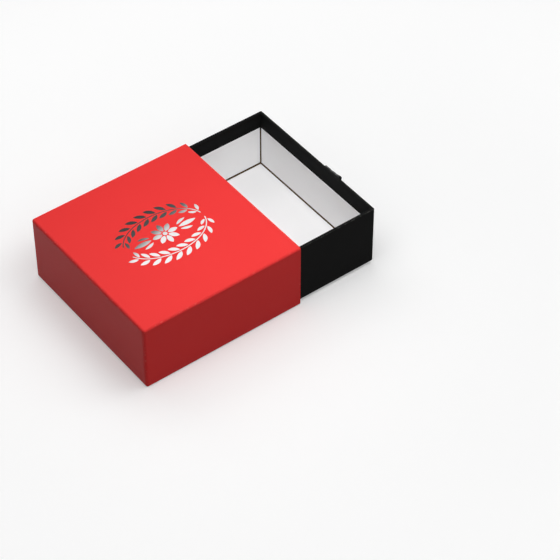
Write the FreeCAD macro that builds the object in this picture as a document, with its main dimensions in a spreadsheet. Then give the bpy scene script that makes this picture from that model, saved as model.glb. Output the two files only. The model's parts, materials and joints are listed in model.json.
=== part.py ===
import FreeCAD, Part
import Sketcher
import math
import os

# A rigid gift box of the drawer kind, in millimetres. A red paper-covered sleeve stands on its
# base, open at one end, and a black paper-covered tray slides in it, pulled by a ribbon loop.
# X runs across the slide, -Y is the way the drawer opens, Z is up. The origin is the middle of
# the sleeve's underside. The tray is built half pulled out.

NODE_FOLDER = "parts"
os.makedirs(NODE_FOLDER, exist_ok=True)
document = FreeCAD.newDocument("DrawerGiftBox")

# ---------------------------------------------------------------- driving dimensions

SIZES = [
    # sleeve
    ("sleeve_width", 200.0, "outside, across the slide"),
    ("sleeve_depth", 192.0, "outside, along the slide"),
    ("sleeve_height", 81.0, "outside"),
    ("sleeve_board", 2.5, "greyboard of the sleeve"),
    ("sleeve_edge_round", 2.5, "outer radius of the sleeve's boards"),
    ("paper", 0.15, "every covering and lining paper"),
    ("mouth_turn_in", 18.0, "wrap folded into the mouth"),
    ("back_turn_over", 15.0, "wrap folded over the back board"),
    ("base_turn_under", 16.0, "wrap folded under the bottom board"),
    ("cover_inset", 3.0, "from an edge to the sheet that covers the folded wrap"),
    ("lining_start", 12.0, "from the mouth to the sleeve's lining"),
    # running clearances of the tray in the sleeve
    ("side_gap", 0.45, "each side"),
    ("running_gap", 0.3, "below"),
    ("head_gap", 1.2, "above"),
    ("back_gap", 0.5, "behind the shut tray"),
    ("front_recess", 4.0, "the shut tray's front behind the mouth"),
    ("pulled_out", 102.0, "how far the tray is drawn from shut"),
    # tray
    ("tray_board", 2.5, "greyboard of the tray's walls"),
    ("base_board", 2.0, "greyboard of the tray's base"),
    ("tray_edge_round", 0.8, "outer radius of the tray's boards"),
    ("tray_turn_in", 24.0, "wrap folded over the rim and down inside"),
    ("tray_turn_under", 14.0, "wrap folded under the base board"),
    ("stay_leg", 16.0, "each leg of a corner stay"),
    ("stay_thickness", 0.1, "gummed kraft tape"),
    ("stay_inset", 4.0, "from the stay's ends to the ends of the corner"),
    # lining cards
    ("lining_card", 0.5, "white card"),
    ("lining_drop", 19.7, "from the rim to the top of the cards"),
    ("corner_gap", 1.9, "from a card's edge to the next board"),
    ("glue_gap", 0.05, "behind the front card, over the ribbon's tails"),
    # ribbon, its loop given by the corners of its middle line, out from the tray and up from the slot
    ("ribbon_width", 24.0, "satin ribbon"),
    ("ribbon_thickness", 0.3, "satin ribbon"),
    ("ribbon_spread", 0.2, "between the two layers in the slot"),
    ("slot_clearance", 0.25, "slot round the ribbon"),
    ("slot_drop", 33.3, "from the rim to the slot"),
    ("tail_gap", 1.0, "from the ribbon's upper tail to the folded wrap over it"),
    ("loop_root_out", 1.4, "the two layers part here"),
    ("loop_crest_out", 12.4, "the loop's top run levels off here"),
    ("loop_crest_up", 3.6, "and this high up"),
    ("loop_corner_out", 25.6, "upper outer corner, before it is rounded"),
    ("loop_corner_up", 4.6, "upper outer corner"),
    ("loop_nose_out", 20.4, "lowest corner, before it is rounded"),
    ("loop_nose_down", 17.6, "lowest corner"),
    ("root_bend", 2.6, "radius where the lower layer leaves the slot"),
    ("crest_bend", 11.0, "radius of the gentle bends of the top run"),
    ("corner_bend", 4.2, "radius of the upper outer corner"),
    ("nose_bend", 1.9, "radius of the lowest corner"),
    # foil ornament
    ("foil_thickness", 0.05, "hot foil"),
    ("foil_break", 0.9, "plain paper between two pieces of foil"),
    ("rosette_radius", 15.0, "flower in the middle"),
    ("heart_radius", 2.5, "disc in the flower"),
    ("petal_breadth", 5.6, "widest part of a petal"),
    ("bud_breadth", 5.6, "middle leaf of a bud"),
    ("bud_spread", 7.3, "from the middle to the tips of a bud's outer leaves"),
    ("wreath_length", 94.0, "oval of its two stems, along the slide"),
    ("wreath_width", 59.0, "oval of its two stems, across the slide"),
    ("stem_breadth", 1.1, "wreath stem"),
    ("leaf_length", 13.5, "longest wreath leaf"),
    ("leaf_breadth", 4.9, "widest wreath leaf"),
    ("leaf_lean", 34.0, "degrees between stem and leaf"),
]

sheet = document.addObject("Spreadsheet::Sheet", "Sizes")
for row, (alias, value, note) in enumerate(SIZES, start=1):
    sheet.set(f"A{row}", alias)
    sheet.set(f"B{row}", str(value))
    sheet.set(f"C{row}", note)
    sheet.setAlias(f"B{row}", alias)
document.recompute()

# ---------------------------------------------------------------- derived planes and spans

LAYOUT = [
    # sleeve, from its skin inwards
    ("wall_skin", "Sizes.sleeve_width / 2"),
    ("mouth", "-Sizes.sleeve_depth / 2"),
    ("back_skin", "Sizes.sleeve_depth / 2"),
    ("wrap_back", "Layout.back_skin - Sizes.paper"),
    ("wrap_bottom", "Sizes.paper"),
    ("core_side", "Layout.wall_skin - Sizes.paper"),
    ("core_mouth", "Layout.mouth + Sizes.paper"),
    ("core_back", "Layout.wrap_back - Sizes.paper"),
    ("core_bottom", "Layout.wrap_bottom + Sizes.paper"),
    ("core_top", "Sizes.sleeve_height - Sizes.paper"),
    ("inner_side", "Layout.core_side - Sizes.sleeve_board"),
    ("inner_back", "Layout.core_back - Sizes.sleeve_board"),
    ("inner_bottom", "Layout.core_bottom + Sizes.sleeve_board"),
    ("inner_top", "Layout.core_top - Sizes.sleeve_board"),
    ("bay_side", "Layout.inner_side - 2 * Sizes.paper"),
    ("bay_back", "Layout.inner_back - Sizes.paper"),
    ("bay_bottom", "Layout.inner_bottom + 2 * Sizes.paper"),
    ("bay_top", "Layout.inner_top - 2 * Sizes.paper"),
    # tray, in the place where it is drawn
    ("tray_side", "Layout.bay_side - Sizes.side_gap"),
    ("tray_front", "Layout.mouth + Sizes.front_recess - Sizes.pulled_out"),
    ("tray_back", "Layout.bay_back - Sizes.back_gap - Sizes.pulled_out"),
    ("tray_bottom", "Layout.bay_bottom + Sizes.running_gap"),
    ("rim", "Layout.bay_top - Sizes.head_gap"),
    ("tray_wrap_bottom", "Layout.tray_bottom + Sizes.paper"),
    ("box_side", "Layout.tray_side - Sizes.paper"),
    ("box_front", "Layout.tray_front + Sizes.paper"),
    ("box_back", "Layout.tray_back - Sizes.paper"),
    ("box_bottom", "Layout.tray_wrap_bottom + Sizes.paper"),
    ("box_top", "Layout.rim - Sizes.paper"),
    ("well_side", "Layout.box_side - Sizes.tray_board"),
    ("well_front", "Layout.box_front + Sizes.tray_board"),
    ("well_back", "Layout.box_back - Sizes.tray_board"),
    ("well_bottom", "Layout.box_bottom + Sizes.base_board"),
    ("turn_in_side", "Layout.well_side - Sizes.paper"),
    ("turn_in_front", "Layout.well_front + Sizes.paper"),
    ("turn_in_back", "Layout.well_back - Sizes.paper"),
    ("card_top", "Layout.rim - Sizes.lining_drop"),
    ("card_bottom", "Layout.well_bottom + Sizes.corner_gap"),
    # ribbon and its slot
    ("slot_centre", "Layout.rim - Sizes.slot_drop"),
    ("slot_half_width", "Sizes.ribbon_width / 2 + Sizes.slot_clearance"),
    ("slot_half_height", "Sizes.ribbon_thickness + Sizes.ribbon_spread / 2 + Sizes.slot_clearance"),
    ("tail_length", "Sizes.slot_drop - Sizes.tray_turn_in - Sizes.tail_gap"),
]

layout = document.addObject("App::VarSet", "Layout")
for name, expression in LAYOUT:
    layout.addProperty("App::PropertyFloat", name)
    layout.setExpression(name, expression)
document.recompute()


def size(alias):
    return float(sheet.get(alias))


def plane(name):
    return float(layout.getPropertyByName(name))


# ---------------------------------------------------------------- ways of making a piece

OVERCUT = 1  # a tool that cuts right through reaches this far past the piece
nodes = []


def node(feature, label):
    """Names a finished sub-part; its label is also its file's name."""
    feature.Label = label
    nodes.append(feature)
    return feature


def block(name, x, y, z):
    """A square-edged block between two planes along each axis, each plane an expression."""
    box = document.addObject("Part::Box", name)
    for length, axis, (low, high) in zip(("Length", "Width", "Height"), "xyz", (x, y, z)):
        box.setExpression(length, f"({high}) - ({low})")
        box.setExpression(f"Placement.Base.{axis}", low)
    return box


def centred(half):
    """The span of a piece that lies evenly about the middle plane."""
    return (f"-({half})", half)


def origin_plane(body, role):
    return next(item for item in body.Origin.OriginFeatures if item.Role == role)


def rounded_block(name, x, y, z, radius, stays_sharp):
    """A block with one radius on each edge, but for the edges where stays_sharp(point) holds."""
    body = document.addObject("PartDesign::Body", name)
    outline = body.newObject("Sketcher::SketchObject", f"{name}_outline")
    outline.AttachmentSupport = [(origin_plane(body, "XY_Plane"), "")]
    outline.MapMode = "FlatFace"
    corners = [FreeCAD.Vector(*corner, 0) for corner in ((0, 0), (1, 0), (1, 1), (0, 1))]
    for index in range(4):
        outline.addGeometry(Part.LineSegment(corners[index], corners[(index + 1) % 4]), False)
    for index in range(4):
        outline.addConstraint(Sketcher.Constraint("Coincident", index, 2, (index + 1) % 4, 1))
    for index, direction in enumerate(("Horizontal", "Vertical", "Horizontal", "Vertical")):
        outline.addConstraint(Sketcher.Constraint(direction, index))
    outline.addConstraint(Sketcher.Constraint("Coincident", 0, 1, -1, 1))
    for label, kind, line, (low, high) in (("across", "DistanceX", 0, x), ("along", "DistanceY", 1, y)):
        constraint = outline.addConstraint(Sketcher.Constraint(kind, line, 1, line, 2, 1.0))
        outline.renameConstraint(constraint, label)
        outline.setExpression(f"Constraints.{label}", f"({high}) - ({low})")
    pad = body.newObject("PartDesign::Pad", f"{name}_pad")
    pad.Profile = outline
    pad.setExpression("Length", f"({z[1]}) - ({z[0]})")
    for axis, (low, high) in zip("xyz", (x, y, z)):
        body.setExpression(f"Placement.Base.{axis}", low)
    document.recompute()
    place = body.Placement
    rounded = [
        f"Edge{index}"
        for index, edge in enumerate(pad.Shape.Edges, start=1)
        if not stays_sharp(place.multVec(edge.valueAt((edge.FirstParameter + edge.LastParameter) / 2)))
    ]
    fillet = body.newObject("PartDesign::Fillet", f"{name}_round")
    fillet.Base = (pad, rounded)
    fillet.setExpression("Radius", radius)
    body.Tip = fillet
    document.recompute()
    return body


def boolean(kind, name, base, tool):
    feature = document.addObject(f"Part::{kind}", name)
    feature.Base = base
    feature.Tool = tool
    return feature


# ---------------------------------------------------------------- sleeve

SLEEVE_CORE = (
    centred("Layout.core_side"),
    ("Layout.core_mouth", "Layout.core_back"),
    ("Layout.core_bottom", "Layout.core_top"),
)


def at_mouth(point):
    return point.y < plane("core_mouth") + size("paper")


def sleeve_boards(core):
    side, inner = "Layout.core_side", "Layout.inner_side"
    full = SLEEVE_CORE[1]
    storey = ("Layout.inner_bottom", "Layout.inner_top")
    boards = {
        "sleeve_top_board": (centred(side), full, ("Layout.inner_top", "Layout.core_top")),
        "sleeve_bottom_board": (centred(side), full, ("Layout.core_bottom", "Layout.inner_bottom")),
        "sleeve_left_board": ((f"-{side}", f"-{inner}"), full, storey),
        "sleeve_right_board": ((inner, side), full, storey),
        "sleeve_back_board": (centred(inner), ("Layout.inner_back", "Layout.core_back"), storey),
    }
    for label, spans in boards.items():
        node(boolean("Common", f"{label}_cut", block(f"{label}_blank", *spans), core), label)


def sleeve_papers(core):
    side = "Layout.wall_skin"
    skin = rounded_block(
        "sleeve_skin",
        centred(side),
        ("Layout.mouth", "Layout.wrap_back"),
        ("Layout.wrap_bottom", "Sizes.sleeve_height"),
        "Sizes.sleeve_edge_round + Sizes.paper",
        at_mouth,
    )
    shell = boolean("Cut", "sleeve_shell", skin, core)
    mouth_end = "Layout.mouth + Sizes.mouth_turn_in"
    turned_side, turned_bottom, turned_top = (
        "Layout.inner_side - Sizes.paper",
        "Layout.inner_bottom + Sizes.paper",
        "Layout.inner_top - Sizes.paper",
    )
    fold = block(
        "sleeve_mouth_fold",
        centred("Layout.inner_side"),
        ("Layout.mouth", mouth_end),
        ("Layout.inner_bottom", "Layout.inner_top"),
    )
    way_in = block(
        "sleeve_way_in",
        centred(turned_side),
        (f"Layout.mouth - {OVERCUT}", f"{mouth_end} + {OVERCUT}"),
        (turned_bottom, turned_top),
    )
    folded = boolean("Fuse", "sleeve_folded", shell, fold)
    opened = boolean("Cut", "sleeve_opened", folded, way_in)
    back_window = block(
        "sleeve_back_window",
        centred(f"{side} - Sizes.back_turn_over"),
        ("Layout.core_back - Sizes.paper", "Layout.wrap_back + Sizes.paper"),
        ("Sizes.back_turn_over", "Sizes.sleeve_height - Sizes.back_turn_over"),
    )
    base_window = block(
        "sleeve_base_window",
        centred(f"{side} - Sizes.base_turn_under"),
        ("Layout.mouth + Sizes.base_turn_under", "Layout.back_skin - Sizes.base_turn_under"),
        ("0", "Layout.core_bottom + Sizes.paper"),
    )
    windows = boolean("Fuse", "sleeve_windows", back_window, base_window)
    node(boolean("Cut", "sleeve_wrap_cut", opened, windows), "sleeve_wrap")

    node(
        block(
            "sleeve_back_sheet",
            centred(f"{side} - Sizes.cover_inset"),
            ("Layout.wrap_back", "Layout.back_skin"),
            ("Sizes.cover_inset", "Sizes.sleeve_height - Sizes.cover_inset"),
        ),
        "sleeve_back_paper",
    )
    node(
        block(
            "sleeve_base_sheet",
            centred(f"{side} - Sizes.cover_inset"),
            ("Layout.mouth + Sizes.cover_inset", "Layout.back_skin - Sizes.cover_inset"),
            ("0", "Layout.wrap_bottom"),
        ),
        "sleeve_base_paper",
    )


def sleeve_lining():
    along = ("Layout.mouth + Sizes.lining_start", "Layout.inner_back")
    sheet_side, sheet_bottom, sheet_top = (
        "Layout.inner_side - Sizes.paper",
        "Layout.inner_bottom + Sizes.paper",
        "Layout.inner_top - Sizes.paper",
    )
    outside = block("sleeve_lining_outside", centred(sheet_side), along, (sheet_bottom, sheet_top))
    inside = block(
        "sleeve_lining_inside",
        centred("Layout.bay_side"),
        (f"{along[0]} - {OVERCUT}", f"{along[1]} + {OVERCUT}"),
        ("Layout.bay_bottom", "Layout.bay_top"),
    )
    node(boolean("Cut", "sleeve_lining_tube", outside, inside), "sleeve_lining")
    node(
        block(
            "sleeve_back_lining_sheet",
            centred("Layout.bay_side"),
            ("Layout.bay_back", "Layout.inner_back"),
            ("Layout.bay_bottom", "Layout.bay_top"),
        ),
        "sleeve_back_lining",
    )


# ---------------------------------------------------------------- tray

TRAY_CORE = (
    centred("Layout.box_side"),
    ("Layout.box_front", "Layout.box_back"),
    ("Layout.box_bottom", "Layout.box_top"),
)


def at_rim(point):
    return point.z > plane("box_top") - size("paper")


def slot():
    """The slot that the ribbon passes through, from the well out past the tray's front."""
    return block(
        "ribbon_slot",
        centred("Layout.slot_half_width"),
        (f"Layout.tray_front - {OVERCUT}", f"Layout.well_front + {OVERCUT}"),
        ("Layout.slot_centre - Layout.slot_half_height", "Layout.slot_centre + Layout.slot_half_height"),
    )


def corner_stays(core):
    """Four strips of tape, each round one upright corner and pressed flush into the boards."""
    tape = "Sizes.stay_thickness"
    inside = rounded_block(
        "stays_inside",
        centred(f"Layout.box_side - {tape}"),
        (f"Layout.box_front + {tape}", f"Layout.box_back - {tape}"),
        (f"Layout.box_bottom - {OVERCUT}", f"Layout.box_top + {OVERCUT}"),
        f"Sizes.tray_edge_round - {tape}",
        lambda point: plane("box_bottom") > point.z or point.z > plane("box_top"),
    )
    skin = boolean("Cut", "stays_skin", core, inside)
    height = ("Layout.box_bottom + Sizes.stay_inset", "Layout.box_top - Sizes.stay_inset")
    sides = (
        (f"-Layout.box_side - {OVERCUT}", "-Layout.box_side + Sizes.stay_leg"),
        ("Layout.box_side - Sizes.stay_leg", f"Layout.box_side + {OVERCUT}"),
    )
    ends = (
        (f"Layout.box_front - {OVERCUT}", "Layout.box_front + Sizes.stay_leg"),
        ("Layout.box_back - Sizes.stay_leg", f"Layout.box_back + {OVERCUT}"),
    )
    corners = document.addObject("Part::MultiFuse", "stays_corners")
    corners.Shapes = [
        block("stays_corner", across, along, height) for across in sides for along in ends
    ]
    return node(boolean("Common", "stays", skin, corners), "tray_corner_stays")


def tray_boards(core, stays, ribbon_slot):
    side, well = "Layout.box_side", "Layout.well_side"
    full = ("Layout.box_bottom", "Layout.box_top")
    between = ("Layout.well_front", "Layout.well_back")
    walls = {
        "tray_front_board": (centred(side), ("Layout.box_front", "Layout.well_front")),
        "tray_back_board": (centred(side), ("Layout.well_back", "Layout.box_back")),
        "tray_left_board": ((f"-{side}", f"-{well}"), between),
        "tray_right_board": ((well, side), between),
    }
    for label, spans in walls.items():
        edged = boolean("Common", f"{label}_edged", block(f"{label}_blank", *spans, full), core)
        board = boolean("Cut", f"{label}_taped", edged, stays)
        if label == "tray_front_board":
            board = boolean("Cut", f"{label}_slotted", board, ribbon_slot)
        node(board, label)
    base = block("tray_base", centred(well), between, ("Layout.box_bottom", "Layout.well_bottom"))
    node(base, "tray_base_board")


def tray_papers(core, ribbon_slot):
    skin = rounded_block(
        "tray_skin",
        centred("Layout.tray_side"),
        ("Layout.tray_front", "Layout.tray_back"),
        ("Layout.tray_wrap_bottom", "Layout.rim"),
        "Sizes.tray_edge_round + Sizes.paper",
        at_rim,
    )
    shell = boolean("Cut", "tray_shell", skin, core)
    turn_in_end = "Layout.rim - Sizes.tray_turn_in"
    fold = block(
        "tray_rim_fold",
        centred("Layout.well_side"),
        ("Layout.well_front", "Layout.well_back"),
        (turn_in_end, "Layout.rim"),
    )
    well = block(
        "tray_way_in",
        centred("Layout.turn_in_side"),
        ("Layout.turn_in_front", "Layout.turn_in_back"),
        (f"{turn_in_end} - {OVERCUT}", f"Layout.rim + {OVERCUT}"),
    )
    base_window = block(
        "tray_base_window",
        centred("Layout.tray_side - Sizes.tray_turn_under"),
        ("Layout.tray_front + Sizes.tray_turn_under", "Layout.tray_back - Sizes.tray_turn_under"),
        ("Layout.tray_bottom", "Layout.box_bottom + Sizes.paper"),
    )
    openings = document.addObject("Part::MultiFuse", "tray_wrap_openings")
    openings.Shapes = [well, base_window, ribbon_slot]
    folded = boolean("Fuse", "tray_folded", shell, fold)
    node(boolean("Cut", "tray_wrap_cut", folded, openings), "tray_wrap")
    node(
        block(
            "tray_base_sheet",
            centred("Layout.tray_side - Sizes.cover_inset"),
            ("Layout.tray_front + Sizes.cover_inset", "Layout.tray_back - Sizes.cover_inset"),
            ("Layout.tray_bottom", "Layout.tray_wrap_bottom"),
        ),
        "tray_base_paper",
    )


def lining_cards():
    """Five white cards, which stop short of each other so that the board shows between them."""
    gap, card = "Sizes.corner_gap", "Sizes.lining_card"
    tall = ("Layout.card_bottom", "Layout.card_top")
    across = centred(f"Layout.well_side - {gap}")
    along = (f"Layout.well_front + {gap}", f"Layout.well_back - {gap}")
    front = "Layout.well_front + Sizes.ribbon_thickness + Sizes.glue_gap"
    back, side = "Layout.turn_in_back", "Layout.turn_in_side"
    cards = {
        "lining_front": (across, (front, f"{front} + {card}"), tall),
        "lining_back": (across, (f"{back} - {card}", back), tall),
        "lining_left": ((f"-{side}", f"-({side} - {card})"), along, tall),
        "lining_right": ((f"{side} - {card}", side), along, tall),
        "lining_base": (across, along, ("Layout.well_bottom", f"Layout.well_bottom + {card}")),
    }
    for label, spans in cards.items():
        node(block(f"{label}_card", *spans), label)


# ---------------------------------------------------------------- pull ribbon


def bent_band(points, radii, thickness):
    """The face of a band of one thickness, along straight runs joined by tangent arcs.

    points are (out, up) pairs on the band's middle line, and radii one value for each inner point.
    """
    def vector(point):
        return FreeCAD.Vector(0, point[0], point[1])

    middle = [vector(point) for point in points]
    sides = ([], [])
    for shift, edges in zip((thickness / 2, -thickness / 2), sides):
        runs = []
        for start, end in zip(middle, middle[1:]):
            heading = (end - start).normalize()
            across = FreeCAD.Vector(0, -heading.z, heading.y)
            runs.append([start + across * shift, end + across * shift])
        for index, radius in enumerate(radii):
            before = (middle[index + 1] - middle[index]).normalize()
            after = (middle[index + 2] - middle[index + 1]).normalize()
            turn = before.getAngle(after)
            left = before.y * after.z - before.z * after.y > 0
            trim = radius * math.tan(turn / 2)
            across = FreeCAD.Vector(0, -before.z, before.y) * (1 if left else -1)
            centre = middle[index + 1] - before * trim + across * radius
            reach = radius - shift * (1 if left else -1)
            bisector = (middle[index + 1] - centre).normalize()
            leave = FreeCAD.Vector(0, -after.z, after.y) * (1 if left else -1)
            arc_start = centre - across * reach
            arc_end = centre - leave * reach
            runs[index][1] = arc_start
            runs[index + 1][0] = arc_end
            edges.append(Part.LineSegment(runs[index][0], arc_start).toShape())
            edges.append(Part.Arc(arc_start, centre + bisector * reach, arc_end).toShape())
        edges.append(Part.LineSegment(*runs[-1]).toShape())
    starts = [edges[0].Vertexes[0].Point for edges in sides]
    ends = [edges[-1].Vertexes[-1].Point for edges in sides]
    caps = [Part.LineSegment(*pair).toShape() for pair in (starts, ends)]
    outline = Part.Wire(Part.__sortEdges__([*sides[0], *sides[1], *caps]))
    return Part.Face(outline)


def pull_ribbon():
    """One length of ribbon: a tail, out through the slot, round a hanging loop, and back in."""
    thickness, width = size("ribbon_thickness"), size("ribbon_width")
    layer = (thickness + size("ribbon_spread")) / 2
    behind = plane("tray_front") - plane("well_front") - thickness / 2
    tail = plane("tail_length")
    root, fold_bend = size("loop_root_out"), thickness
    route = [
        (behind, tail),
        (behind, layer),
        (root, layer),
        (size("loop_crest_out"), size("loop_crest_up")),
        (size("loop_corner_out"), size("loop_corner_up")),
        (size("loop_nose_out"), -size("loop_nose_down")),
        (root, -layer),
        (behind, -layer),
        (behind, -tail),
    ]
    loop_bends = [
        size(name) for name in ("crest_bend", "crest_bend", "corner_bend", "nose_bend", "root_bend")
    ]
    band = bent_band(route, [fold_bend, *loop_bends, fold_bend], thickness)
    outward = band.extrude(FreeCAD.Vector(width, 0, 0))
    ribbon = document.addObject("Part::Feature", "ribbon_loop")
    ribbon.Shape = outward.mirror(FreeCAD.Vector(0, 0, 0), FreeCAD.Vector(0, 1, 0))
    ribbon.Placement = FreeCAD.Placement(
        FreeCAD.Vector(-width / 2, plane("tray_front"), plane("slot_centre")), FreeCAD.Rotation()
    )
    node(ribbon, "pull_ribbon")


# ---------------------------------------------------------------- foil ornament

UP = FreeCAD.Vector(0, 0, 1)
PETALS = 8
TIE_ANGLE, OPEN_ANGLE = 7, 16  # degrees left bare at the wreath's tie and at its open end
LEAF_SIDES = (0.36, 0.64)  # a leaf's breadth on its side near the stem and on its far side
INNER_LEAF = 0.92  # an inner leaf beside an outer one
FIRST_PAIR = 0.35  # from the tie to the first pair of leaves, in steps from pair to pair
END_SHRINK, SHRINK_POWER = 0.3, 3  # share that a leaf loses at the wreath's ends, and how late
OUTER_TIP = 0.6  # where the tip of a bud's outer leaf stands along the bud
OUTER_SIDES = (0.3, 0.9)  # that leaf's bulges on its inner and its outer side
WALK_STEPS = 400  # steps that measure the way along a stem


def blade(start, end, left, right):
    """A leaf or stroke between two arcs, which bulge left and right of the line by those heights."""
    begin, finish = FreeCAD.Vector(*start), FreeCAD.Vector(*end)
    heading = (finish - begin).normalize()
    across = FreeCAD.Vector(-heading.y, heading.x)
    middle = (begin + finish) / 2
    edges = [Part.Arc(begin, middle + across * bulge, finish).toShape() for bulge in (left, -right)]
    return Part.Face(Part.Wire(edges))


def turned(faces, degrees):
    return [face.rotated(FreeCAD.Vector(), UP, degrees) for face in faces]


def rosette():
    """Petals round a small disc."""
    heart, half = size("heart_radius"), size("petal_breadth") / 2
    disc = Part.Circle(FreeCAD.Vector(), UP, heart)
    petal = blade((heart + size("foil_break"), 0), (size("rosette_radius"), 0), half, half)
    faces = [Part.Face(Part.Wire(disc.toShape()))]
    for index in range(PETALS):
        faces += turned([petal], 360 / PETALS * index)
    return faces


def bud(start, end):
    """A pointed leaf along +Y between two slimmer ones."""
    half, spread, length = size("bud_breadth") / 2, size("bud_spread"), end - start
    faces = [blade((0, start), (0, end), half, half)]
    for side in (1, -1):
        foot = (side * spread / 2, start)
        tip = (side * spread, start + OUTER_TIP * length)
        bulges = [part * half for part in OUTER_SIDES]
        faces.append(blade(foot, tip, *bulges[::side]))
    return faces


def wreath_stem(across, along, first, last):
    """A band along half of an ellipse, from angle first to angle last about the middle."""
    quarter, half = math.radians(90), size("stem_breadth") / 2
    rails = []
    for shift in (half, -half):
        lying = Part.Ellipse(FreeCAD.Vector(), along + shift, across + shift)
        arc = Part.ArcOfEllipse(lying, first - quarter, last - quarter).toShape()
        rails += turned([arc], 90)
    ends = [
        Part.LineSegment(*(rail.Vertexes[index].Point for rail in rails)).toShape()
        for index in (0, 1)
    ]
    return Part.Face(Part.Wire(Part.__sortEdges__([*rails, *ends])))


def wreath_branch(across, along):
    """The +X half of an oval wreath, from its tie at -Y to its open end at +Y."""
    first, last = math.radians(-90 + TIE_ANGLE), math.radians(90 - OPEN_ANGLE)
    angles = [first + (last - first) * index / WALK_STEPS for index in range(WALK_STEPS + 1)]
    points = [FreeCAD.Vector(across * math.cos(angle), along * math.sin(angle)) for angle in angles]
    walked = [0.0]
    for before, after in zip(points, points[1:]):
        walked.append(walked[-1] + (after - before).Length)

    gap, lean = size("foil_break"), math.radians(size("leaf_lean"))
    length, breadth = size("leaf_length"), size("leaf_breadth")
    faces = [wreath_stem(across, along, first, last)]
    pairs = int(walked[-1] * math.sin(lean) / (breadth + gap))
    for index in range(pairs):
        station = (index + FIRST_PAIR) * walked[-1] / pairs
        place = next(step for step, run in enumerate(walked) if run >= station)
        heading = (points[place + 1] - points[place - 1]).normalize()
        outward = FreeCAD.Vector(heading.y, -heading.x)
        at_end = abs(math.sin(angles[place])) ** SHRINK_POWER
        for way, share in ((1, 1), (-1, INNER_LEAF)):
            scale = share * (1 - END_SHRINK * at_end)
            foot = points[place] + outward * way * (size("stem_breadth") / 2 + gap)
            leaf = heading * math.cos(lean) + outward * way * math.sin(lean)
            bulges = [part * breadth * scale for part in LEAF_SIDES]
            faces.append(blade(foot, foot + leaf * length * scale, *bulges[::way]))
    return faces


def foil_ornament():
    """An oval wreath, tied at the mouth's side, with a rosette and two buds inside it."""
    along, across = size("wreath_length") / 2, size("wreath_width") / 2
    leaf_reach = size("leaf_length") * math.sin(math.radians(size("leaf_lean")))
    bud_start = size("rosette_radius") + 2 * size("foil_break")
    bud_end = along - leaf_reach - 2 * size("foil_break")
    buds = bud(bud_start, bud_end)
    branch = wreath_branch(across, along)
    other_branch = [face.mirror(FreeCAD.Vector(), FreeCAD.Vector(1, 0, 0)) for face in branch]
    faces = [*rosette(), *buds, *turned(buds, 180), *branch, *other_branch]
    ornament = document.addObject("Part::Feature", "foil_pieces")
    ornament.Shape = Part.makeCompound([face.extrude(UP * size("foil_thickness")) for face in faces])
    ornament.Placement = FreeCAD.Placement(
        FreeCAD.Vector(0, 0, size("sleeve_height")), FreeCAD.Rotation()
    )
    node(ornament, "foil_ornament")


# ---------------------------------------------------------------- build, check and write

sleeve_form = rounded_block("sleeve_form", *SLEEVE_CORE, "Sizes.sleeve_edge_round", at_mouth)
sleeve_boards(sleeve_form)
sleeve_papers(sleeve_form)
sleeve_lining()

tray_form = rounded_block("tray_form", *TRAY_CORE, "Sizes.tray_edge_round", at_rim)
pull_slot = slot()
tray_boards(tray_form, corner_stays(tray_form), pull_slot)
tray_papers(tray_form, pull_slot)
lining_cards()
pull_ribbon()
foil_ornament()
document.recompute()

failed = [item.Name for item in document.Objects if {"Invalid", "Error"} & set(item.State)]
if failed:
    raise RuntimeError(f"these objects failed: {failed}")
for piece in nodes:
    shape = piece.Shape
    if shape.isNull() or not shape.isValid() or not shape.Solids:
        raise RuntimeError(f"{piece.Label} has no valid solid")
for piece in nodes:
    piece.Shape.exportStep(os.path.join(NODE_FOLDER, f"{piece.Label}.step"))
    print(piece.Label, len(piece.Shape.Solids), round(piece.Shape.Volume, 1))
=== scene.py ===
import json
import math

import bmesh
import bpy
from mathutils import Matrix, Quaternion, Vector


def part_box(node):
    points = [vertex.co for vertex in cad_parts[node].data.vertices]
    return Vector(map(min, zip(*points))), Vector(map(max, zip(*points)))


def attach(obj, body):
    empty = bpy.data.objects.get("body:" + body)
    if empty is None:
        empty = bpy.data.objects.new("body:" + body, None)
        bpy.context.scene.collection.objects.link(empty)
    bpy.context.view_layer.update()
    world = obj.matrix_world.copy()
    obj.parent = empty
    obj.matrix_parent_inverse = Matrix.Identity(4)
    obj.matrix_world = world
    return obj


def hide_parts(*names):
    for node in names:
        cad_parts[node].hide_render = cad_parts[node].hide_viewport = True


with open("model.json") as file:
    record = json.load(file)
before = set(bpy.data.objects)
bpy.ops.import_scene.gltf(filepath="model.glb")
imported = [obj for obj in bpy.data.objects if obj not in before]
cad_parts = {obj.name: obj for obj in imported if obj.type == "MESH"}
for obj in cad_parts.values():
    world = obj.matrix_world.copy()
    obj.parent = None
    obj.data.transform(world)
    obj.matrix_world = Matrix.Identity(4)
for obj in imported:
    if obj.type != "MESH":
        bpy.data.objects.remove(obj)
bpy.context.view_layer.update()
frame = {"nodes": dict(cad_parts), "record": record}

# A drawer gift box, half open: a red paper-covered sleeve with a foil ornament, and a black tray
# with a white lining and a ribbon pull. Lengths are in metres, in the CAD model's frame: X runs
# across the slide, -Y is the way the drawer opens and Z is up.

MM = 0.001

# ---------------------------------------------------------------- camera

IMAGE_SIDE, FOCAL_PIXELS = 560, 2241.4  # the image's side and the focal length, in its pixels
SENSOR = 36.0  # in millimetres, as Blender gives a camera's sensor and lens
CAMERA_PLACE = Vector((-1.3708, 0.8981, 1.6455))
CAMERA_AIM = Vector((0.5632, -0.4289, -0.7063))  # the way it looks


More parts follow.
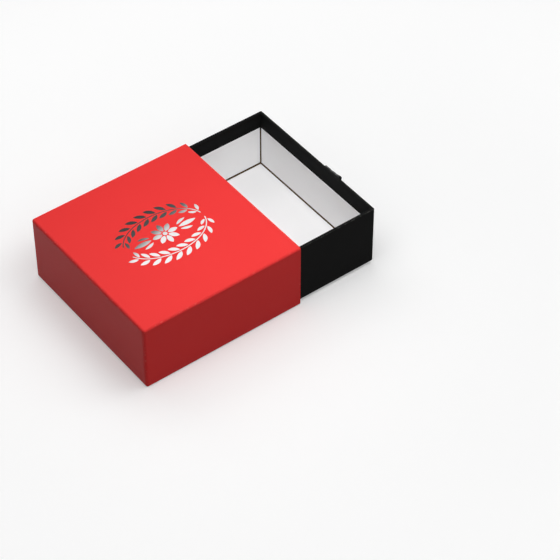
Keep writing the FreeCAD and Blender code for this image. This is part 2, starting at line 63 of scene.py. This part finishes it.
def make_camera():
    data = bpy.data.cameras.new("camera")
    data.sensor_width = SENSOR
    data.lens = SENSOR * FOCAL_PIXELS / IMAGE_SIDE
    data.clip_start, data.clip_end = 0.05, 50
    camera = bpy.data.objects.new("camera", data)
    camera.location = CAMERA_PLACE
    camera.rotation_mode = "QUATERNION"
    camera.rotation_quaternion = CAMERA_AIM.to_track_quat("-Z", "Y")
    bpy.context.scene.collection.objects.link(camera)
    bpy.context.scene.camera = camera


# ---------------------------------------------------------------- ways of making a material


class Nodes:
    """A node tree, with short ways to add to it."""

    def __init__(self, tree):
        self.tree = tree

    def add(self, kind, inputs=None, **settings):
        node = self.tree.nodes.new(kind)
        for key, value in settings.items():
            setattr(node, key, value)
        for key, value in (inputs or {}).items():
            self.feed(node.inputs[key], value)
        return node

    def feed(self, socket, value):
        if isinstance(value, bpy.types.NodeSocket):
            self.tree.links.new(value, socket)
        else:
            socket.default_value = value

    def math(self, operation, *values):
        node = self.add("ShaderNodeMath", operation=operation)
        for socket, value in zip(node.inputs, values):
            self.feed(socket, value)
        return node.outputs[0]

    def spread(self, value, low, high, to_low=0.0, to_high=1.0, ease="SMOOTHSTEP"):
        """Maps the range from low to high on to that from to_low to to_high, level beyond its ends."""
        keys = ("Value", "From Min", "From Max", "To Min", "To Max")
        inputs = dict(zip(keys, (value, low, high, to_low, to_high)))
        return self.add("ShaderNodeMapRange", inputs, interpolation_type=ease).outputs[0]

    def mix(self, amount, one, other):
        node = self.add("ShaderNodeMix", data_type="RGBA")
        for key, value in (("Factor", amount), ("A", one), ("B", other)):
            self.feed(node.inputs[key], value)
        return node.outputs["Result"]

    def background_rays(self):
        """1 for the rays that see a background, straight, mirrored or through glass, and 0 for the rest."""
        rays = self.add("ShaderNodeLightPath").outputs
        mirrored = self.math("MAXIMUM", rays["Is Glossy Ray"], rays["Is Transmission Ray"])
        return self.math("MAXIMUM", rays["Is Camera Ray"], mirrored)


class Paint(Nodes):
    """A material's nodes. Its place is in the frame's metres, unless the material changes it."""

    def __init__(self, name):
        self.material = bpy.data.materials.new(name)
        self.material.use_nodes = True
        super().__init__(self.material.node_tree)
        self.shader = self.tree.nodes["Principled BSDF"]
        self.place = self.add("ShaderNodeTexCoord").outputs["Object"]

    def set(self, **values):
        for key, value in values.items():
            self.feed(self.shader.inputs[key.replace("_", " ")], value)

    def axes(self):
        node = self.add("ShaderNodeSeparateXYZ", {"Vector": self.place})
        return node.outputs[0], node.outputs[1], node.outputs[2]

    def noise(self, size, detail=2.0, roughness=0.5, stretch=(1, 1, 1), shift=0.0):
        """Noise whose patches are about size across, longer along an axis by its stretch."""
        scale = [1 / (size * way) for way in stretch]
        mapping = self.add(
            "ShaderNodeMapping",
            {"Vector": self.place, "Scale": scale, "Location": (shift, shift, shift)},
        )
        texture = self.add(
            "ShaderNodeTexNoise",
            {"Vector": mapping.outputs[0], "Scale": 1.0, "Detail": detail, "Roughness": roughness},
        )
        return texture.outputs["Fac"]

    def bump(self, height, depth, under=None):
        """Raises the surface by height times depth, on top of the bump under it if there is one."""
        inputs = {"Height": height, "Distance": depth, "Strength": 1.0}
        if under is not None:
            inputs["Normal"] = under
        return self.add("ShaderNodeBump", inputs).outputs["Normal"]


def rgb(red, green, blue):
    """A colour given as a screen shows it, from 0 to 255, as the linear one that a shader takes."""
    def linear(value):
        value /= 255
        return value / 12.92 if value <= 0.04045 else ((value + 0.055) / 1.055) ** 2.4

    return (linear(red), linear(green), linear(blue), 1.0)


def grey(value):
    return rgb(value, value, value)


def near_edges(paint, node, reach):
    """1 along the edges of a node's box, and 0 further from them than reach."""
    closeness = []
    for value, low, high in zip(paint.axes(), *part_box(node)):
        middle, half = (low + high) / 2, (high - low) / 2
        off_middle = paint.math("ABSOLUTE", paint.math("SUBTRACT", value, middle))
        closeness.append(paint.spread(off_middle, half - reach, half))
    pairs = [
        paint.math("MULTIPLY", closeness[one], closeness[other])
        for one, other in ((0, 1), (1, 2), (0, 2))
    ]
    return paint.math("MAXIMUM", paint.math("MAXIMUM", pairs[0], pairs[1]), pairs[2])


def rub(paint, colour, worn, share, node, reach, size, whole, bare):
    """The colour, with a share of the worn one in patches within reach of the edges of a node's box.

    The patches come from noise of the given size. Where it is under whole, nothing is rubbed, and
    where it is over bare, the full share is.
    """
    patches = paint.spread(paint.noise(size, detail=4, roughness=0.7), whole, bare)
    rubbed = paint.math("MULTIPLY", near_edges(paint, node, reach), patches)
    return paint.mix(paint.math("MULTIPLY", rubbed, share), colour, worn)


# ---------------------------------------------------------------- materials


def red_paper():
    """Red covering paper with a satin laminate, a little paler where its edges are rubbed."""
    paint = Paint("red_paper")
    cloud = paint.noise(60 * MM, detail=3)
    fibre = paint.noise(0.6 * MM, detail=3, stretch=(1, 3, 1))
    colour = paint.mix(cloud, rgb(231, 55, 55), rgb(234, 58, 57))
    colour = paint.mix(paint.math("MULTIPLY", fibre, 0.10), colour, rgb(205, 43, 43))
    edges = dict(node="sleeve_wrap", reach=2.2 * MM, size=4 * MM, whole=0.52, bare=0.72)
    colour = rub(paint, colour, rgb(250, 150, 140), share=0.4, **edges)
    rough = paint.math("MULTIPLY_ADD", paint.noise(1.1 * MM, detail=2), 0.10, 0.20)
    flatness = paint.bump(paint.noise(28 * MM, detail=1), 0.22 * MM)
    grain = paint.bump(fibre, 0.018 * MM, under=flatness)
    paint.set(Base_Color=colour, Roughness=rough, Normal=grain)
    paint.set(IOR=1.47, Specular_IOR_Level=0.04)
    return paint.material


def black_paper(name, node):
    """Black dyed covering paper, matt, a little grey where its edges are rubbed."""
    paint = Paint(name)
    fibre = paint.noise(0.5 * MM, detail=3, stretch=(3, 3, 1))
    cloud = paint.noise(50 * MM, detail=3)
    colour = paint.mix(cloud, grey(18), grey(23))
    colour = paint.mix(paint.math("MULTIPLY", fibre, 0.35), colour, grey(35))
    edges = dict(node=node, reach=1.2 * MM, size=3 * MM, whole=0.45, bare=0.7)
    colour = rub(paint, colour, rgb(110, 108, 104), share=0.5, **edges)
    rough = paint.math("MULTIPLY_ADD", fibre, 0.16, 0.46)
    paint.set(Base_Color=colour, Roughness=rough, Normal=paint.bump(fibre, 0.025 * MM))
    paint.set(IOR=1.45, Specular_IOR_Level=0.02)
    return paint.material


def greyboard():
    """Raw board made of recycled pulp, with flecks and short fibres; its brown is darkened as painted shade
    for the narrow gaps where it shows.
    """
    paint = Paint("greyboard")
    pulp = paint.noise(1.2 * MM, detail=5, roughness=0.65)
    fleck = paint.spread(paint.noise(0.7 * MM, detail=2, shift=7.0), 0.62, 0.70)
    # partly painted shade: the board's own brown, made darker than bare board to stand in for the shade in
    # the gaps between the lining cards
    colour = paint.mix(pulp, rgb(76, 55, 29), rgb(106, 79, 45))
    colour = paint.mix(paint.math("MULTIPLY", fleck, 0.5), colour, rgb(52, 36, 20))
    paint.set(Base_Color=colour, Normal=paint.bump(pulp, 0.08 * MM))
    paint.set(Roughness=0.9, Specular_IOR_Level=0.08)
    return paint.material


def white_card():
    """Smooth white card with a faint grain."""
    paint = Paint("white_card")
    grain = paint.noise(0.5 * MM, detail=3, stretch=(2, 1, 1))
    cloud = paint.noise(50 * MM, detail=2, shift=3.0)
    colour = paint.mix(cloud, rgb(251, 251, 252), grey(253))
    colour = paint.mix(paint.math("MULTIPLY", grain, 0.08), colour, rgb(226, 225, 224))
    rough = paint.math("MULTIPLY_ADD", grain, 0.15, 0.55)
    paint.set(Base_Color=colour, Roughness=rough, Normal=paint.bump(grain, 0.016 * MM))
    paint.set(Specular_IOR_Level=0.35)
    return paint.material


def kraft_tape():
    """Brown gummed tape with long fibres."""
    paint = Paint("kraft_tape")
    fibre = paint.noise(0.8 * MM, detail=4, stretch=(1, 1, 8))
    colour = paint.mix(fibre, rgb(150, 112, 72), rgb(188, 150, 106))
    paint.set(Base_Color=colour, Normal=paint.bump(fibre, 0.03 * MM))
    paint.set(Roughness=0.75)
    return paint.material


FOIL_REFLECTION_TURN = math.radians(15)  # from X to the way that the foil's painted reflection changes
FOIL_REFLECTION_REACH = 40 * MM  # from the frame's origin to the first and the last tone of the painted reflection
FOIL_REFLECTION_TONES = (  # how far that way from the origin, and the grey of the painted reflection there
    (-FOIL_REFLECTION_REACH, 186),
    (-4 * MM, 188),
    (2 * MM, 176),
    (10 * MM, 90),
    (18 * MM, 62),
    (FOIL_REFLECTION_REACH, 47),
)


def silver_foil():
    """Hot foil with a painted reflection in its colour: bright on the -X side and dark on the +X side, as if
    it mirrored a room.
    """
    paint = Paint("silver_foil")
    across, along, _ = paint.axes()
    way = paint.math("MULTIPLY", across, math.cos(FOIL_REFLECTION_TURN))
    way = paint.math("MULTIPLY_ADD", along, math.sin(FOIL_REFLECTION_TURN), way)
    # painted reflection: a grey ramp in the base colour, bright on one side of the foil and dark on the other
    painted_reflection = paint.add("ShaderNodeValToRGB", {"Fac": paint.spread(way, -FOIL_REFLECTION_REACH, FOIL_REFLECTION_REACH, ease="LINEAR")})
    painted_reflection.color_ramp.interpolation = "B_SPLINE"
    stops = painted_reflection.color_ramp.elements
    stops.remove(stops[1])
    stops[0].color = grey(FOIL_REFLECTION_TONES[0][1])
    for place, tone in FOIL_REFLECTION_TONES[1:]:
        stops.new((place / FOIL_REFLECTION_REACH + 1) / 2).color = grey(tone)
    grain = paint.noise(0.9 * MM, detail=2, stretch=(1, 4, 1))
    rough = paint.math("MULTIPLY_ADD", grain, 0.14, 0.24)
    paint.set(Base_Color=painted_reflection.outputs[0], Roughness=rough, Normal=paint.bump(grain, 0.01 * MM))
    paint.set(Metallic=1.0)
    return paint.material


WARP_PITCH, WEFT_PITCH = 0.22 * MM, 0.4 * MM
SELVEDGE_START, SELVEDGE_FULL = 10.8 * MM, 11.4 * MM  # from the ribbon's middle line


def black_satin():
    """Satin ribbon: long floats along it that shine, and a plain woven selvedge."""
    paint = Paint("black_satin")
    paint.place = paint.add("ShaderNodeUVMap", uv_map="along_ribbon").outputs[0]
    across, along, _ = paint.axes()
    warp = paint.math("SINE", paint.math("MULTIPLY", across, 2 * math.pi / WARP_PITCH))
    weft = paint.math("SINE", paint.math("MULTIPLY", along, 2 * math.pi / WEFT_PITCH))
    slub = paint.noise(0.6 * MM, detail=3, stretch=(1, 12, 1))
    edge = paint.spread(paint.math("ABSOLUTE", across), SELVEDGE_START, SELVEDGE_FULL)
    thread = paint.math("MULTIPLY_ADD", weft, paint.math("MULTIPLY_ADD", edge, 0.6, 0.15), warp)
    colour = paint.mix(slub, rgb(14, 14, 15), rgb(34, 34, 36))
    rough = paint.math("MULTIPLY_ADD", edge, 0.25, paint.math("MULTIPLY_ADD", slub, 0.12, 0.3))
    paint.set(Base_Color=colour, Roughness=rough, Normal=paint.bump(thread, 0.012 * MM))
    paint.set(Specular_IOR_Level=0.2, Sheen_Weight=0.25, Sheen_Roughness=0.4)
    return paint.material


# ---------------------------------------------------------------- dressing the CAD nodes


def dress(node, material):
    slots = frame["nodes"][node].data.materials
    slots.clear()
    slots.append(material)


def dress_nodes():
    """Gives each CAD node but the ribbon the material of its slot."""
    finishes = {
        "red_paper": red_paper(),
        "greyboard": greyboard(),
        "white_card": white_card(),
        "kraft_tape": kraft_tape(),
        "silver_foil": silver_foil(),
    }
    blacks = {
        "sleeve": black_paper("black_lining", "sleeve_lining"),
        "tray": black_paper("black_wrap", "tray_wrap"),
    }
    for part in frame["record"]["subparts"]:
        name, slot = part["node"], part["material_slot"]
        if slot == "black_paper":
            dress(name, blacks["sleeve" if name.startswith("sleeve") else "tray"])
        elif slot in finishes:
            dress(name, finishes[slot])


# ---------------------------------------------------------------- pull ribbon

RIBBON_WIDTH = 24 * MM
RIBBON_THICKNESS = 0.3 * MM

# The route of its middle line, as how far out from the tray's front and up from the slot's middle.
LAYER_RISE = 0.25 * MM  # the upper layer's in the slot, and the lower one's fall
TAIL_RISE = 8.0 * MM  # the upper tail's end, and the lower one's fall
SOLID_TAIL_RISE = 8.3 * MM  # the end of the CAD ribbon's upper tail
ROOT_OUT = 1.4 * MM  # where the layers start to part
CREST = (12.4 * MM, 3.6 * MM)  # where the top run levels off
OUTER_CORNER = (25.6 * MM, 4.6 * MM)
NOSE = (20.4 * MM, -17.6 * MM)  # where the loop turns back
TAIL_BEND, CREST_BEND, CORNER_BEND = 0.3 * MM, 11 * MM, 4.2 * MM
NOSE_BEND, ROOT_BEND = 1.9 * MM, 2.6 * MM

ARC_STEP, ROW_STEP = 0.2 * MM, 0.5 * MM
COLUMNS = 28

FREE_OUT = 8 * MM  # the cup, ripple and skew grow from the tray's front and are full from here on
CUP, CUP_SUNK = 0.5 * MM, 0.4  # its depth, and the share of it that is below the middle line
RIPPLE = 0.12 * MM
RIPPLES_ACROSS, RIPPLES_ALONG = 9, 260  # radians in half the width and in a metre
SKEW = -0.9 * MM  # the +X edge's rise, and the -X edge's fall
SELVEDGE, SELVEDGE_SHARE = 0.05 * MM, 0.9  # its extra half thickness, and the share of width inside it
SLACK = 0.02 * MM  # how far each face stays inside the ribbon's thickness


def rounded_route(corners, radii, step):
    """Points along straight runs joined by tangent arcs, about step apart on the arcs."""
    points = [Vector(corner) for corner in corners]
    line = [points[0]]
    for index, radius in enumerate(radii):
        here = points[index + 1]
        before = (here - points[index]).normalized()
        after = (points[index + 2] - here).normalized()
        turn = before.angle_signed(after)
        trim = radius * math.tan(abs(turn) / 2)
        side = Vector((before.y, -before.x)) * (1 if turn > 0 else -1)
        centre = here - before * trim + side * radius
        spoke = -side * radius
        count = max(3, math.ceil(radius * abs(turn) / step))
        for number in range(count + 1):
            angle = -turn * number / count
            cos, sin = math.cos(angle), math.sin(angle)
            line.append(centre + Vector((spoke.x * cos - spoke.y * sin, spoke.x * sin + spoke.y * cos)))
    line.append(points[-1])
    return line


def spaced(line, step):
    """The same line with points evenly spaced along it, and its length."""
    lengths = [0.0]
    for before, after in zip(line, line[1:]):
        lengths.append(lengths[-1] + (after - before).length)
    count = math.ceil(lengths[-1] / step)
    result, place = [], 0
    for number in range(count + 1):
        target = lengths[-1] * number / count
        while place < len(line) - 2 and lengths[place + 1] < target:
            place += 1
        run = max(lengths[place + 1] - lengths[place], 1e-12)
        result.append(line[place].lerp(line[place + 1], (target - lengths[place]) / run))
    return result, lengths[-1]


def ribbon_line(behind):
    """The ribbon's middle line and its length: a tail, the loop from layer to layer, a tail."""
    corners = [
        (behind, TAIL_RISE),
        (behind, LAYER_RISE),
        (ROOT_OUT, LAYER_RISE),
        CREST,
        OUTER_CORNER,
        NOSE,
        (ROOT_OUT, -LAYER_RISE),
        (behind, -LAYER_RISE),
        (behind, -TAIL_RISE),
    ]
    bends = (TAIL_BEND, CREST_BEND, CREST_BEND, CORNER_BEND, NOSE_BEND, ROOT_BEND, TAIL_BEND)
    return spaced(rounded_route(corners, bends, ARC_STEP), ROW_STEP)


def ribbon_ring(point, normal, travelled):
    """A section's outline, as places across, out and up: over one face and back over the other."""
    free = min(1.0, max(0.0, point.x) / FREE_OUT)
    faces = ([], [])
    for number in range(COLUMNS + 1):
        share = 2 * number / COLUMNS - 1
        across = share * RIBBON_WIDTH / 2
        cup = CUP * free * (share * share - CUP_SUNK)
        ripple = RIPPLE * free * math.sin(RIPPLES_ACROSS * share + RIPPLES_ALONG * travelled)
        middle = point + normal * (cup + ripple) + Vector((0, SKEW * free * share))
        thicker = SELVEDGE * max(0.0, (abs(share) - SELVEDGE_SHARE) / (1 - SELVEDGE_SHARE))
        half = RIBBON_THICKNESS / 2 + thicker - SLACK
        for face, shift in zip(faces, (half, -half)):
            face.append((across, *(middle + normal * shift)))
    return faces[0] + faces[1][::-1]


def ribbon_mesh(front, slot_height, behind):
    """A closed strip and its length. Its UV map is its flat shape, in metres."""
    line, length = ribbon_line(behind)
    shape = bmesh.new()
    uv = shape.loops.layers.uv.new("along_ribbon")
    rings = []
    for index, point in enumerate(line):
        ahead = line[min(index + 1, len(line) - 1)] - line[max(index - 1, 0)]
        normal = Vector((-ahead.y, ahead.x)).normalized()
        travelled = length * index / (len(line) - 1)
        rings.append([
            (shape.verts.new((across, front - out, slot_height + up)), (across, travelled))
            for across, out, up in ribbon_ring(point, normal, travelled)
        ])

    def face(cells):
        made = shape.faces.new([vertex for vertex, _ in cells])
        made.smooth = True
        for loop, (_, flat) in zip(made.loops, cells):
            loop[uv].uv = flat

    for ring, later in zip(rings, rings[1:]):
        for one in range(len(ring)):
            other = (one + 1) % len(ring)
            face([ring[one], later[one], later[other], ring[other]])
    for ring, order in ((rings[0], 1), (rings[-1], -1)):
        for one in range(COLUMNS):
            under = len(ring) - 1 - one
            face([ring[one], ring[one + 1], ring[under - 1], ring[under]][::order])
    shape.normal_update()
    mesh = bpy.data.meshes.new("ribbon_pull")
    shape.to_mesh(mesh)
    shape.free()
    return mesh, length


def make_ribbon(material):
    far_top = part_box("pull_ribbon")[1]
    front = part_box("tray_wrap")[0].y
    behind = front - far_top.y + RIBBON_THICKNESS / 2
    mesh, length = ribbon_mesh(front, far_top.z - SOLID_TAIL_RISE, behind)
    mesh.materials.append(material)
    ribbon = bpy.data.objects.new("ribbon_pull", mesh)
    bpy.context.scene.collection.objects.link(ribbon)
    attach(ribbon, "tray")
    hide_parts("pull_ribbon")


# ---------------------------------------------------------------- floor

FLOOR_HALF = 6.0
FLOOR_PALE = 222  # its grey as a background
FLOOR_BOUNCE = 137  # its grey where it throws light back at the box
LIFT_CENTRE = (-0.1, -0.1, 0)  # the background's added light grows with the distance from here
LIFT_REACH, LIFT = (0.05, 0.6), (0.245, 0.425)  # two distances, and the light at each
FAR_LIFT_REACH, FAR_LIFT = (0.6, 2.4), (0.0, 0.3)  # more of it, where the lamps hardly reach


def floor_paper():
    """The pale floor. The camera and mirrors see it near white; as a bounce card it is a mid grey."""
    paint = Paint("floor_paper")
    seen = paint.background_rays()
    pale = paint.mix(paint.noise(0.3, detail=2), grey(FLOOR_PALE), grey(FLOOR_PALE + 2))
    paint.set(Base_Color=paint.mix(seen, grey(FLOOR_BOUNCE), pale))
    paint.set(Roughness=0.9, Specular_IOR_Level=0.1)
    away = paint.add("ShaderNodeVectorMath", {0: paint.place, 1: LIFT_CENTRE}, operation="DISTANCE")
    lifts = [
        paint.spread(away.outputs["Value"], *reach, *lift)
        for reach, lift in ((LIFT_REACH, LIFT), (FAR_LIFT_REACH, FAR_LIFT))
    ]
    glow = paint.math("MULTIPLY", seen, paint.math("ADD", *lifts))
    paint.set(Emission_Color=grey(255), Emission_Strength=glow)
    return paint.material


def make_floor():
    mesh = bpy.data.meshes.new("floor")
    shape = bmesh.new()
    corners = [(-1, -1), (1, -1), (1, 1), (-1, 1)]
    shape.faces.new([shape.verts.new((x * FLOOR_HALF, y * FLOOR_HALF, 0)) for x, y in corners])
    shape.to_mesh(mesh)
    shape.free()
    mesh.materials.append(floor_paper())
    floor = bpy.data.objects.new("floor", mesh)
    bpy.context.scene.collection.objects.link(floor)


# ---------------------------------------------------------------- light

DOME_HORIZON, DOME_ZENITH = 0.02, 0.35
DOME_SEEN = 1.0  # as a background
SOFTBOXES = (  # name, place, aim, width, height, turn and watts
    ("above_sleeve", (-0.10, -0.06, 0.44), (-0.09, -0.07, 0), 0.25, 0.25, 0, 0.63),
    ("overhead", (0, -0.1, 1.3), (0, -0.1, 0), 1.1, 1.1, 0, 0.95),
    ("beyond_tray", (0.448, -0.394, 0.93), (0.02, -0.10, 0.437), 0.7, 0.5, 25, 1.35),
    ("right_of_camera", (-1.15, -0.05, 1.35), (0, -0.05, 0), 1.0, 1.0, 0, 4.6),
    ("left_of_camera", (-0.3, 1.3, 1.5), (0, -0.05, 0), 1.0, 1.0, 0, 2.6),
    ("beside_tray", (-0.5, -1.0, 1.2), (0, -0.05, 0), 0.8, 0.8, 0, 3.3),
    ("beyond_sleeve", (1.2, 0.1, 1.3), (0, -0.12, 0), 1.0, 1.0, 0, 4.1),
)


def softbox(name, place, aim, width, height, turn, power):
    """A soft lamp at place, turned by so many degrees round the line from it to its aim."""
    data = bpy.data.lights.new(name, "AREA")
    data.shape = "RECTANGLE"
    data.size, data.size_y = width, height
    data.energy = power
    lamp = bpy.data.objects.new(name, data)
    lamp.location = place
    lamp.rotation_mode = "QUATERNION"
    towards = (Vector(aim) - Vector(place)).to_track_quat("-Z", "Y")
    lamp.rotation_quaternion = towards @ Quaternion((0, 0, 1), math.radians(turn))
    lamp.visible_camera = False
    bpy.context.scene.collection.objects.link(lamp)


def make_light():
    """A dome of light, brightest straight above, and the softboxes. As a background it is white."""
    world = bpy.data.worlds.new("studio")
    bpy.context.scene.world = world
    world.use_nodes = True
    nodes = Nodes(world.node_tree)
    direction = nodes.add("ShaderNodeTexCoord").outputs["Generated"]
    height = nodes.add("ShaderNodeSeparateXYZ", {"Vector": direction}).outputs[2]
    dome = nodes.spread(height, 0.0, 1.0, DOME_HORIZON, DOME_ZENITH)
    strength = nodes.spread(nodes.background_rays(), 0.0, 1.0, dome, DOME_SEEN, ease="LINEAR")
    background = world.node_tree.nodes["Background"]
    nodes.feed(background.inputs["Color"], (1, 1, 1, 1))
    nodes.feed(background.inputs["Strength"], strength)
    for box in SOFTBOXES:
        softbox(*box)


# ---------------------------------------------------------------- build

bpy.context.scene.view_settings.view_transform = "Standard"
make_camera()
make_light()
make_floor()
dress_nodes()
make_ribbon(black_satin())
